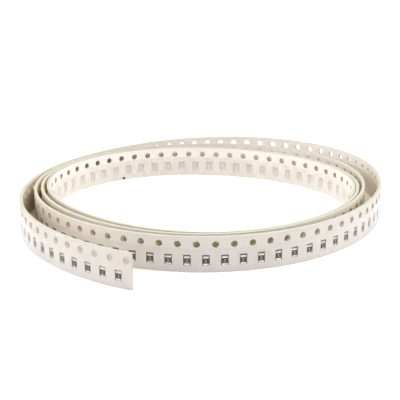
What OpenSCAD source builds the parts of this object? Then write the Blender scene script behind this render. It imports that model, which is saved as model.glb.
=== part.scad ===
// A loose coil of 8 mm punched paper carrier tape with chip resistors in its pockets,
// standing on its edge. Millimetres, +Z up, origin on the floor under the middle of the coil.

/* [Carrier tape] */
// Width of the tape, which is the height of the coil as it stands
tape_w = 8; // [7.9:0.05:12]
// Thickness of the paper
tape_t = 0.7; // [0.5:0.05:1.1]
// Distance from one sprocket hole to the next, and from one pocket to the next
pitch = 4; // [4:1:8]
// Diameter of a sprocket hole
hole_d = 1.5; // [1.2:0.05:1.6]
// Distance from the upper edge of the tape to the middle of the sprocket holes
hole_edge = 1.75; // [1.5:0.05:1.9]
// Distance from the line of sprocket holes down to the line of pockets
pocket_drop = 3.5; // [3.3:0.05:3.8]
// Distance from the cut end of the tape to its first sprocket hole
end_margin = 1.1; // [1.1:0.1:2.8]
// Number of pockets in the length of tape
pocket_count = 239; // [150:1:256]

/* [Coil] */
// Radius that the coil is drawn to, to which the looseness below is added
coil_r = 44; // [44:1:60]
// Angle of the free end, clockwise from the front
end_angle = 15.5; // [5:0.5:30]
// Extra radius of the outer turn, at each eighth of a turn from just before the free end
outer_loose = [28, 15, 7.6, 0, -5.5, 1, 7, 0, -0.8]; // each from -6 to 28
// Free gap between the second turn and the outer one, at each eighth of a turn
second_gap = [12.8, 6.3, 0, 0, 7.8, 9.3, 2.6, 2.4]; // each from 0 to 13
// Free gap between the third turn and the second, at each eighth of a turn
third_gap = [0, 2.4, 0, 0, 4, 7.2, 0, 0]; // each from 0 to 8
// Free gap between the fourth turn and the third, at each eighth of a turn
fourth_gap = [0, 1.9, 0, 0, 0, 0, 0, 0]; // each from 0 to 3
// Clearance between turns that lie against each other
turn_clearance = 0.05; // [0.04:0.01:0.1]

/* [Cover films] */
// Thickness of each cover film
film_t = 0.05; // [0.03:0.01:0.08]
// Thickness of the open sealing layer between each film and the paper
seal_t = 0.01; // [0.005:0.005:0.02]
// Width of each cover film
film_w = 5.3; // [5:0.05:5.35]
// Height of the films' lower edges above the lower edge of the tape
film_edge = 0.1; // [0.05:0.05:0.15]

/* [Chips] */
// Length of a chip, which stands upright in its pocket
chip_l = 2; // [1.9:0.05:2.1]
// Width of a chip along the tape
chip_w = 1.25; // [1.2:0.05:1.3]
// Thickness of a chip
chip_t = 0.5; // [0.4:0.05:0.55]
// Room for a chip in its pocket, on each side; the chip stands on the pocket's lower end
pocket_room = 0.2; // [0.1:0.05:0.25]
// Length of the metal cap on each end of a chip
cap_l = 0.4; // [0.3:0.05:0.5]
// Thickness of the dark coat on the outward face of a chip
coat_t = 0.1; // [0.05:0.05:0.2]

/* [Hidden] */

// Depths from the strip's outward face to the faces of its layers.
paper_from = film_t + seal_t;
paper_to = paper_from + tape_t;
strip_t = paper_to + seal_t + film_t;
hole_z = tape_w - hole_edge;
pocket_z = hole_z - pocket_drop;
pocket_w = chip_w + 2 * pocket_room;
pocket_l = chip_l + 2 * pocket_room;
chip_z = pocket_z - pocket_room;
coat_l = chip_l - 2 * cap_l;
facet = pitch / 2;
// Punches reach half a film past each face of the paper, so that they stay clear of the next turn.
punch_t = tape_t + film_t;
gaps = concat(second_gap, third_gap, fourth_gap);
tape_l = pocket_count * pitch + 2 * end_margin;
// More turns than the tape can make, as even the innermost is wider than half of coil_r.
most_turns = ceil(tape_l / (PI * coil_r));

// Control radii in each turn, and the angle from one to the next.
per_turn = 8;
eighth = 360 / per_turn;
// A step in degrees that is small beside a facet, for the direction of the path.
nudge_angle = 0.01;

// Control radius of each eighth of a turn, counted inward from the free end.
function control(n) =
    n < per_turn ? coil_r + outer_loose[n + 1]
                 : control(n - per_turn) - strip_t - turn_clearance - free_gap(n - per_turn);
function free_gap(n) = n < len(gaps) ? gaps[n] : 0;

controls = [for (n = [-1:per_turn * most_turns]) control(n)];

// Radius at a sweep angle: a uniform cubic B-spline through the control radii.
function radius(sweep) =
    let (u = sweep / eighth, n = floor(u), f = u - n)
    (controls[n] * pow(1 - f, 3) + controls[n + 1] * (3 * pow(f, 3) - 6 * f * f + 4)
     + controls[n + 2] * (3 * f * (1 + f - f * f) + 1) + controls[n + 3] * pow(f, 3)) / 6;

function spot(sweep) = radius(sweep) * [-sin(sweep), -cos(sweep)];
function forward(sweep) =
    let (step = spot(sweep + nudge_angle) - spot(sweep - nudge_angle)) step / norm(step);
function inward(sweep) = let (f = forward(sweep)) [f[1], -f[0]];

// Degrees of sweep for each millimetre along the middle of the tape.
function rate(sweep) =
    2 * nudge_angle / norm(middle(sweep + nudge_angle) - middle(sweep - nudge_angle));
function middle(sweep) = spot(sweep) + strip_t / 2 * inward(sweep);
// Sweep angle that lies a distance further along the tape.
function advance(sweep, d) = sweep + d * rate(sweep + d / 2 * rate(sweep));

first_edge = advance(end_angle, end_margin - facet / 2);
edges = [for (k = 0, s = first_edge; k <= 2 * pocket_count + 1; s = advance(s, facet), k = k + 1) s];
sweeps = concat([end_angle], edges);

function face(depth) = [for (s = sweeps) spot(s) + depth * inward(s)];

outer_face = face(paper_from);
lows = [min([for (p = outer_face) p[0]]), min([for (p = outer_face) p[1]])];
highs = [max([for (p = outer_face) p[0]]), max([for (p = outer_face) p[1]])];
centre = (lows + highs) / 2;

function reversed(list) = [for (i = [len(list) - 1:-1:0]) list[i]];

module ribbon(from, to, low, high)
    translate([-centre[0], -centre[1], low])
        linear_extrude(high - low)
            polygon(concat(face(from), reversed(face(to))));

// Places its children on the flat facet k, with X inward through the tape.
module on_facet(k, z) {
    a = middle(edges[k]);
    b = middle(edges[k + 1]);
    d = b - a;
    translate([(a[0] + b[0]) / 2 - centre[0], (a[1] + b[1]) / 2 - centre[1], z])
        rotate([0, 0, atan2(-d[0], d[1])])
            children();
}

module carrier_tape() color("#efe9dd")
    difference() {
        ribbon(paper_from, paper_to, 0, tape_w);
        for (i = [0:pocket_count]) on_facet(2 * i, hole_z)
            rotate([0, 90, 0]) cylinder(h = punch_t, d = hole_d, center = true, $fn = 24);
        for (i = [0:pocket_count - 1]) on_facet(2 * i + 1, pocket_z)
            cube([punch_t, pocket_w, pocket_l], center = true);
    }

module top_cover_film() color("#f4f4f0", 0.4)
    ribbon(0, film_t, film_edge, film_edge + film_w);

module bottom_cover_film() color("#eeeeea", 0.6)
    ribbon(paper_to + seal_t, strip_t, film_edge, film_edge + film_w);

module chip_bodies() color("#e6e3dc")
    for (i = [0:pocket_count - 1]) on_facet(2 * i + 1, chip_z)
        translate([coat_t / 2, 0, 0])
            cube([chip_t - coat_t, chip_w, coat_l], center = true);

module chip_coats() color("#2b2b2d")
    for (i = [0:pocket_count - 1]) on_facet(2 * i + 1, chip_z)
        translate([(coat_t - chip_t) / 2, 0, 0])
            cube([coat_t, chip_w, coat_l], center = true);

module chip_caps() color("#c9cacb")
    for (i = [0:pocket_count - 1]) on_facet(2 * i + 1, chip_z)
        for (end = [-1, 1]) translate([0, 0, end * (chip_l - cap_l) / 2])
            cube([chip_t, chip_w, cap_l], center = true);

carrier_tape();
top_cover_film();
bottom_cover_film();
chip_bodies();
chip_coats();
chip_caps();
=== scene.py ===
"""A loose coil of 8 mm paper carrier tape, standing on its edge on a white floor."""

import math

import bmesh
import bpy
from mathutils import Matrix, Vector


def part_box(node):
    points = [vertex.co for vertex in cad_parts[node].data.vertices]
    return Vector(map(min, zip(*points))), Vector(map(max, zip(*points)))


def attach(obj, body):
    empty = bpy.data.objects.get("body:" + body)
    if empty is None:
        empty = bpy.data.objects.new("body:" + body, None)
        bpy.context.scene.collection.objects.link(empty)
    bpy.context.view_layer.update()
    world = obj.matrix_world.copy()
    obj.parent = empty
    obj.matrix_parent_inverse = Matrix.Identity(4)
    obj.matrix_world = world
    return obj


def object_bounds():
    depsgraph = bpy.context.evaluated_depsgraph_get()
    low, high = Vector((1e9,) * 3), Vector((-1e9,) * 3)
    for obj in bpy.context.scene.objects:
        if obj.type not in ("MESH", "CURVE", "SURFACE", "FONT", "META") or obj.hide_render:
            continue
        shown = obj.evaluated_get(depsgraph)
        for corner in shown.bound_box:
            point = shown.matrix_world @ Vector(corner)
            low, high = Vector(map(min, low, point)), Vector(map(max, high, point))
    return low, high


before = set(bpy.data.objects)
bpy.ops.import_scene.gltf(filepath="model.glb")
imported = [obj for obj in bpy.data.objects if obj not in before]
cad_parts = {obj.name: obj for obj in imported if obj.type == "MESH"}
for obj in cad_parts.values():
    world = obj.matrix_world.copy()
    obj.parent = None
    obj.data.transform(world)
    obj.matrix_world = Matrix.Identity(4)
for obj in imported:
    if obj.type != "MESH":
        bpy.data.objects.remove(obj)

cad_low, cad_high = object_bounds()

MM = 0.001

# The camera stands in front of the coil, 73.5 mm above the floor. Its tilt and its field of view
# are in degrees.
CAMERA_AT = Vector((-1.40, -223.16, 73.5)) * MM
CAMERA_DOWN = 17.41
CAMERA_FIELD = 24.38
CAMERA_NEAR = 0.01
CAMERA_FAR = 20.0

# Each lamp's place in metres, power in watts and width in metres.
LAMPS = {
    "overhead": ((0.0, -0.02, 0.12), 0.1, 0.1),
    "left_soft": ((-0.6, -0.2, 0.25), 1.95, 0.5),
    "right_soft": ((0.6, -0.12, 0.25), 1.85, 0.5),
}
# The sky's strength, and the share of it that comes from straight behind the camera.
SKY = 0.54
FRONT_SKY = 0.4
FLOOR_SIZE = 6.0
# What the floor glows to the camera, and how near a wall has to stand to shade the glow.
FLOOR_GLOW = 0.75
FLOOR_SHADE_REACH = 20 * MM

# Both faces of a film together shine like one face of this index.
FILM_IOR = 1.5
# The share of each film that lets light straight through.
TOP_CLEAR = 0.97
BOTTOM_CLEAR = 0.5
FILM_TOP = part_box("bottom_cover_film")[1][2]

# Cut paper above this height is the tape's upper edge, and below it counts as punched.
PUNCHED_BELOW = cad_high.z - 0.5 * MM
# The tape's faces have at least this cosine between their normal and straight out or in.
FACE_COSINE = 0.8
GRAIN_DEPTH = 0.02 * MM
# How near a wall has to stand to close a gap in.
GAP_REACH = 10 * MM
# The middle of the fleck, and the radius that its ragged edge stays within.
FLECK_AT = Vector((-23.05, 30.5, 0.4)) * MM
FLECK_SIZE = 0.9 * MM

# The print on a chip: the strokes' thickness and height, and each one's width and rise.
PRINT_T = 0.01 * MM
PRINT_H = 0.13 * MM
PRINT_STROKES = ((0.55 * MM, 0.22 * MM), (0.4 * MM, -0.06 * MM), (0.55 * MM, -0.34 * MM))
# A triangle of a coat larger than this is on its outward or inward face.
COAT_FACE_AREA = 0.5 * MM * MM
# Two middles that round to the same multiple of this are one face's.
SAME_SPOT = 0.01 * MM


def linear(red, green, blue):
    """Scene-linear colour of an 8-bit screen colour."""

    def one(value):
        value /= 255
        return value / 12.92 if value <= 0.04045 else ((value + 0.055) / 1.055) ** 2.4

    return (one(red), one(green), one(blue), 1.0)


def grey(value):
    return (value, value, value, 1.0)


class Nodes:
    """The node tree of a material or of the world, with short calls for the nodes used here."""

    def __init__(self, owner, output="ShaderNodeOutputMaterial"):
        owner.use_nodes = True
        self.owner = owner
        self.tree = owner.node_tree
        self.tree.nodes.clear()
        self.output = self.new(output)

    def new(self, kind, **values):
        node = self.tree.nodes.new(kind)
        for key, value in values.items():
            setattr(node, key, value)
        return node

    def link(self, source, target):
        self.tree.links.new(source, target)

    def position(self):
        """The object's own coordinates in metres, which are the frame's."""
        return self.new("ShaderNodeTexCoord").outputs["Object"]

    def noise(self, scale, detail=3.0, roughness=0.55):
        node = self.new("ShaderNodeTexNoise")
        node.inputs["Scale"].default_value = scale
        node.inputs["Detail"].default_value = detail
        node.inputs["Roughness"].default_value = roughness
        self.link(self.position(), node.inputs["Vector"])
        return node.outputs["Fac"]

    def ramp(self, factor, low, high, start=0.0, end=1.0):
        """Blends two colours as the factor goes from start to end."""
        node = self.new("ShaderNodeValToRGB")
        node.color_ramp.elements[0].position = start
        node.color_ramp.elements[0].color = low
        node.color_ramp.elements[1].position = end
        node.color_ramp.elements[1].color = high
        self.link(factor, node.inputs["Fac"])
        return node.outputs["Color"]

    def mix(self, factor, first, second):
        """Goes from the first colour to the second as the factor goes from 0 to 1."""
        node = self.new("ShaderNodeMix", data_type="RGBA")
        self.link(factor, node.inputs["Factor"])
        self.link(first, node.inputs["A"])
        self.link(second, node.inputs["B"])
        return node.outputs["Result"]

    def blend(self, factor, first, second):
        """Goes from the first shader to the second as the factor goes from 0 to 1."""
        node = self.new("ShaderNodeMixShader")
        self.link(factor, node.inputs["Fac"])
        self.link(first, node.inputs[1])
        self.link(second, node.inputs[2])
        return node.outputs["Shader"]

    def math(self, operation, first, second=0.0):
        """Each of the two values is a number or another node's output."""
        node = self.new("ShaderNodeMath", operation=operation, use_clamp=True)
        for value, socket in ((first, node.inputs[0]), (second, node.inputs[1])):
            if isinstance(value, (int, float)):
                socket.default_value = value
            else:
                self.link(value, socket)
        return node.outputs[0]

    def bump(self, height, strength, distance):
        node = self.new("ShaderNodeBump")
        node.inputs["Strength"].default_value = strength
        node.inputs["Distance"].default_value = distance
        self.link(height, node.inputs["Height"])
        return node.outputs["Normal"]

    def principled(self, colour, roughness, specular=0.5, metallic=0.0, normal=None):
        node = self.new("ShaderNodeBsdfPrincipled")
        self.link(colour, node.inputs["Base Color"])
        node.inputs["Roughness"].default_value = roughness
        node.inputs["Specular IOR Level"].default_value = specular
        node.inputs["Metallic"].default_value = metallic
        if normal is not None:
            self.link(normal, node.inputs["Normal"])
        return node.outputs["BSDF"]

    def finish(self, shader):
        self.link(shader, self.output.inputs["Surface"])
        return self.owner


def new_material(name):
    return Nodes(bpy.data.materials.new(name))


def cut_mask(nodes):
    """1 on the cut edges and the walls of holes and pockets, 0 on the faces of the tape."""
    normal = nodes.new("ShaderNodeNewGeometry").outputs["True Normal"]
    outward = nodes.new("ShaderNodeVectorMath", operation="NORMALIZE")
    level = nodes.new("ShaderNodeVectorMath", operation="MULTIPLY")
    level.inputs[1].default_value = (1, 1, 0)
    nodes.link(nodes.position(), level.inputs[0])
    nodes.link(level.outputs["Vector"], outward.inputs[0])
    along = nodes.new("ShaderNodeVectorMath", operation="DOT_PRODUCT")
    nodes.link(outward.outputs["Vector"], along.inputs[0])
    nodes.link(normal, along.inputs[1])
    facing = nodes.math("ABSOLUTE", along.outputs["Value"])
    return nodes.math("LESS_THAN", facing, FACE_COSINE)


def stained(nodes, colour):
    """The colour with one small dark fleck on the innermost turn's lower edge, at the back."""
    away = nodes.new("ShaderNodeVectorMath", operation="DISTANCE")
    away.inputs[1].default_value = FLECK_AT
    nodes.link(nodes.position(), away.inputs[0])
    ragged = nodes.math("MULTIPLY", nodes.noise(3500.0, 2.0), FLECK_SIZE)
    fleck = nodes.math("LESS_THAN", away.outputs["Value"], ragged)
    dark = nodes.ramp(nodes.noise(4000.0, 2.0), linear(44, 34, 28), linear(74, 62, 52), 0.3, 0.7)
    return nodes.mix(fleck, colour, dark)


def open_sky(nodes, reach, samples):
    """How much of the sky a spot sees past the walls within reach: 1 in the open, 0 closed in."""
    sky = nodes.new("ShaderNodeAmbientOcclusion", samples=samples)
    sky.inputs["Distance"].default_value = reach
    return sky.outputs["AO"]


def shade_mask(nodes):
    """Where the painted shade goes: 1 deep in the gaps between the turns and in the holes, 0 in
    the open.
    """
    return nodes.ramp(open_sky(nodes, GAP_REACH, 12), grey(1), grey(0), 0.15, 0.45)


def painted_gap_shade(nodes, amount, colour):
    """The colour, warmed towards brown by the amount: a painted shade for the deep gaps and holes.
    """
    shade_brown = nodes.ramp(nodes.noise(600.0), linear(216, 196, 156), linear(230, 212, 178), 0.3, 0.7)
    return nodes.mix(amount, colour, shade_brown)


def paper_material():
    """White calendered paper, creamier on its cut edges, with a painted brown shade where it lies
    deep and bare of film.
    """
    nodes = new_material("tape_paper")
    cloud = nodes.noise(90.0, 4.0)
    face = nodes.ramp(cloud, linear(239, 232, 225), linear(246, 240, 233), 0.3, 0.7)
    fibre = nodes.noise(2600.0, 2.0)
    edge = nodes.ramp(fibre, linear(204, 203, 184), linear(216, 215, 198), 0.3, 0.7)
    punched = nodes.ramp(fibre, linear(208, 200, 176), linear(224, 217, 196), 0.3, 0.7)
    height = nodes.new("ShaderNodeSeparateXYZ")
    nodes.link(nodes.position(), height.inputs[0])
    core = nodes.mix(nodes.math("LESS_THAN", height.outputs["Z"], PUNCHED_BELOW), edge, punched)
    colour = nodes.mix(cut_mask(nodes), face, core)
    bare = nodes.math("GREATER_THAN", height.outputs["Z"], FILM_TOP)
    # Deep in the gaps and holes, where no film covers it, the paper's colour is painted brown as
    # shade.
    colour = painted_gap_shade(nodes, nodes.math("MULTIPLY", shade_mask(nodes), bare), colour)
    grain = nodes.bump(nodes.noise(5200.0, 3.0), 0.25, GRAIN_DEPTH)
    paper = nodes.principled(stained(nodes, colour), 0.75, 0.25, normal=grain)
    return nodes.finish(paper)


def film_material(name, clear, low, high, roughness):
    """A thin film under a glossy face: the share `clear` of it lets light straight through."""
    nodes = new_material(name)
    colour = nodes.ramp(nodes.noise(160.0, 3.0), low, high, 0.35, 0.65)
    # Deep in the gaps the film's veil is painted brown as shade, like the paper.
    colour = painted_gap_shade(nodes, shade_mask(nodes), colour)
    cloudy = nodes.principled(stained(nodes, colour), roughness, 0.0)
    through = nodes.new("ShaderNodeBsdfTransparent").outputs["BSDF"]
    # Only the side that faces the light or the eye counts, as a film is one sheet, not two, and
    # what it scatters forward reaches the tape as well, so it casts no shade.
    behind = nodes.new("ShaderNodeNewGeometry").outputs["Backfacing"]
    shade = nodes.new("ShaderNodeLightPath").outputs["Is Shadow Ray"]
    open_share = nodes.math("MAXIMUM", nodes.math("MAXIMUM", behind, shade), clear)
    veil = nodes.blend(open_share, cloudy, through)
    gloss = nodes.new("ShaderNodeBsdfGlossy")
    gloss.inputs["Roughness"].default_value = roughness
    fresnel = nodes.new("ShaderNodeFresnel")
    fresnel.inputs["IOR"].default_value = FILM_IOR
    shine = nodes.math("SUBTRACT", fresnel.outputs["Fac"], behind)
    return nodes.finish(nodes.blend(shine, veil, gloss.outputs["BSDF"]))


def speckled_material(name, low, high, scale, roughness, specular=0.5, metallic=0.0):
    """A fine even mottle between two near colours."""
    nodes = new_material(name)
    colour = nodes.ramp(nodes.noise(scale, 3.0), low, high, 0.35, 0.65)
    grain = nodes.bump(nodes.noise(scale * 2.5), 0.2, GRAIN_DEPTH)
    return nodes.finish(nodes.principled(colour, roughness, specular, metallic, grain))


def dress(node, material):
    """Gives a CAD node its material, and shows its facets flat."""
    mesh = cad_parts[node].data
    mesh.materials.clear()
    mesh.materials.append(material)
    # The stored normals would show the facets as one smooth bend.
    shaded = mesh.attributes.get("custom_normal")
    if shaded:
        mesh.attributes.remove(shaded)
    mesh.shade_flat()


def chip_faces():
    """Middle and outward direction of the dark face of each chip."""
    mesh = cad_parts["chip_coats"].data
    faces = {}
    for polygon in mesh.polygons:
        if polygon.area < COAT_FACE_AREA or polygon.normal.dot(polygon.center) < 0:
            continue
        # A face is two triangles, and the longest side of both is the diagonal through its middle.
        corners = [mesh.vertices[i].co for i in polygon.vertices]
        sides = [(corners[i - 1], corners[i]) for i in range(len(corners))]
        start, end = max(sides, key=lambda side: (side[1] - side[0]).length)
        middle = (start + end) / 2
        spot = round(middle.x / SAME_SPOT), round(middle.y / SAME_SPOT)
        faces[spot] = middle, polygon.normal.copy()
    return faces.values()


def make_chip_prints():
    """Three short pale strokes on each chip, where a value code is printed."""
    prints = bmesh.new()
    for middle, outward in chip_faces():
        along = Vector((0, 0, 1)).cross(outward).normalized()
        turn = Matrix((along, outward, (0, 0, 1))).transposed().to_4x4()
        for width, rise in PRINT_STROKES:
            place = Matrix.Translation(middle + outward * PRINT_T / 2 + Vector((0, 0, rise)))
            size = Matrix.Diagonal((width, PRINT_T, PRINT_H, 1))
            bmesh.ops.create_cube(prints, size=1.0, matrix=place @ turn @ size)
    mesh = bpy.data.meshes.new("chip_prints")
    prints.to_mesh(mesh)
    prints.free()
    piece = bpy.data.objects.new("chip_prints", mesh)
    bpy.context.scene.collection.objects.link(piece)
    mesh.materials.append(
        speckled_material("chip_print", linear(172, 168, 162), linear(198, 194, 188), 5000, 0.7)
    )
    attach(piece, "root")


def looked_at(nodes):
    """1 for what the eye sees, straight or by way of a mirror or a glass, and 0 for the light."""
    path = nodes.new("ShaderNodeLightPath").outputs
    mirrored = nodes.math("ADD", path["Is Glossy Ray"], path["Is Transmission Ray"])
    return nodes.math("ADD", path["Is Camera Ray"], mirrored)


def make_floor():
    """A white table top that stays plain white to the camera, but for the coil's own shade."""
    bpy.ops.mesh.primitive_plane_add(size=FLOOR_SIZE, location=(0, 0, cad_low.z))
    floor = bpy.context.object
    floor.name = "floor"
    nodes = new_material("white_floor")
    colour = nodes.ramp(nodes.noise(3.0), grey(0.78), grey(0.80))
    sky = open_sky(nodes, FLOOR_SHADE_REACH, 8)
    # Down in the gaps between the turns the floor's colour is painted warm, as painted shade and
    # bounce light from the paper.
    enclosed = nodes.ramp(sky, grey(1), grey(0), 0.3, 0.45)
    painted_warm_shade = nodes.ramp(nodes.noise(600.0), linear(222, 204, 168), linear(234, 218, 186))
    surface = nodes.principled(nodes.mix(enclosed, colour, painted_warm_shade), 0.9, 0.1)
    # To the camera alone the floor also glows a little, so that it stays white far from the lamps,
    # but not down in the gaps between the turns.
    glow = nodes.new("ShaderNodeEmission")
    glow.inputs["Strength"].default_value = FLOOR_GLOW
    nodes.link(nodes.ramp(sky, grey(0), grey(1), 0.4, 0.62), glow.inputs["Color"])
    glowing = nodes.new("ShaderNodeAddShader")
    nodes.link(surface, glowing.inputs[0])
    nodes.link(glow.outputs["Emission"], glowing.inputs[1])
    shader = nodes.blend(looked_at(nodes), surface, glowing.outputs["Shader"])
    floor.data.materials.append(nodes.finish(shader))


def make_world():
    """A tent, white to look at, that lights the coil a little less from the camera's side."""
    world = bpy.data.worlds.new("tent")
    bpy.context.scene.world = world
    nodes = Nodes(world, "ShaderNodeOutputWorld")
    direction = nodes.new("ShaderNodeSeparateXYZ")
    nodes.link(nodes.new("ShaderNodeTexCoord").outputs["Generated"], direction.inputs[0])
    # 0 straight behind the camera, 0.5 at the sides and 1 straight ahead of it.
    ahead = nodes.new("ShaderNodeMapRange")
    ahead.inputs["From Min"].default_value = -1.0
    nodes.link(direction.outputs["Y"], ahead.inputs["Value"])
    share = nodes.ramp(ahead.outputs["Result"], grey(FRONT_SKY), grey(1), 0.0, 0.5)
    light = nodes.new("ShaderNodeBackground")
    light.inputs["Strength"].default_value = SKY
    nodes.link(share, light.inputs["Color"])
    seen = nodes.new("ShaderNodeBackground")
    seen.inputs["Strength"].default_value = 1.0
    seen.inputs["Color"].default_value = grey(1)
    nodes.finish(
        nodes.blend(looked_at(nodes), light.outputs["Background"], seen.outputs["Background"])
    )


def make_lamp(name, at, power, size):
    """A square soft lamp that looks at the coil's middle."""
    data = bpy.data.lights.new(name, "AREA")
    data.energy = power
    data.shape = "SQUARE"
    data.size = size
    lamp = bpy.data.objects.new(name, data)
    bpy.context.scene.collection.objects.link(lamp)
    lamp.location = at
    lamp.rotation_euler = Vector(at).to_track_quat("Z", "Y").to_euler()


def make_camera():
    """The camera that took the photo, level from side to side."""
    data = bpy.data.cameras.new("camera")
    data.angle = math.radians(CAMERA_FIELD)
    data.clip_start = CAMERA_NEAR
    data.clip_end = CAMERA_FAR
    camera = bpy.data.objects.new("camera", data)
    bpy.context.scene.collection.objects.link(camera)
    camera.location = CAMERA_AT
    camera.rotation_euler = (math.radians(90 - CAMERA_DOWN), 0, 0)
    bpy.context.scene.camera = camera


dress("carrier_tape", paper_material())
dress(
    "top_cover_film",
    film_material("top_film", TOP_CLEAR, linear(236, 233, 228), linear(244, 241, 238), 0.22),
)
dress(
    "bottom_cover_film",
    film_material("bottom_film", BOTTOM_CLEAR, linear(236, 231, 226), linear(243, 238, 233), 0.5),
)
# The white ceramic is painted grey, as painted shade from the pocket and the film over it.
dress(
    "chip_bodies",
    speckled_material("chip_ceramic", linear(196, 193, 188), linear(210, 207, 202), 3000, 0.6),
)
dress(
    "chip_coats",
    speckled_material("chip_coat", linear(22, 18, 17), linear(36, 31, 29), 2400, 0.5, 0.2),
)
dress(
    "chip_caps",
    speckled_material(
        "chip_tin", linear(186, 183, 178), linear(206, 203, 198), 2600, 0.38, metallic=0.9
    ),
)

make_chip_prints()
make_floor()
make_world()
for name, (at, power, size) in LAMPS.items():
    make_lamp(name, at, power, size)
make_camera()

bpy.context.scene.view_settings.view_transform = "Standard"
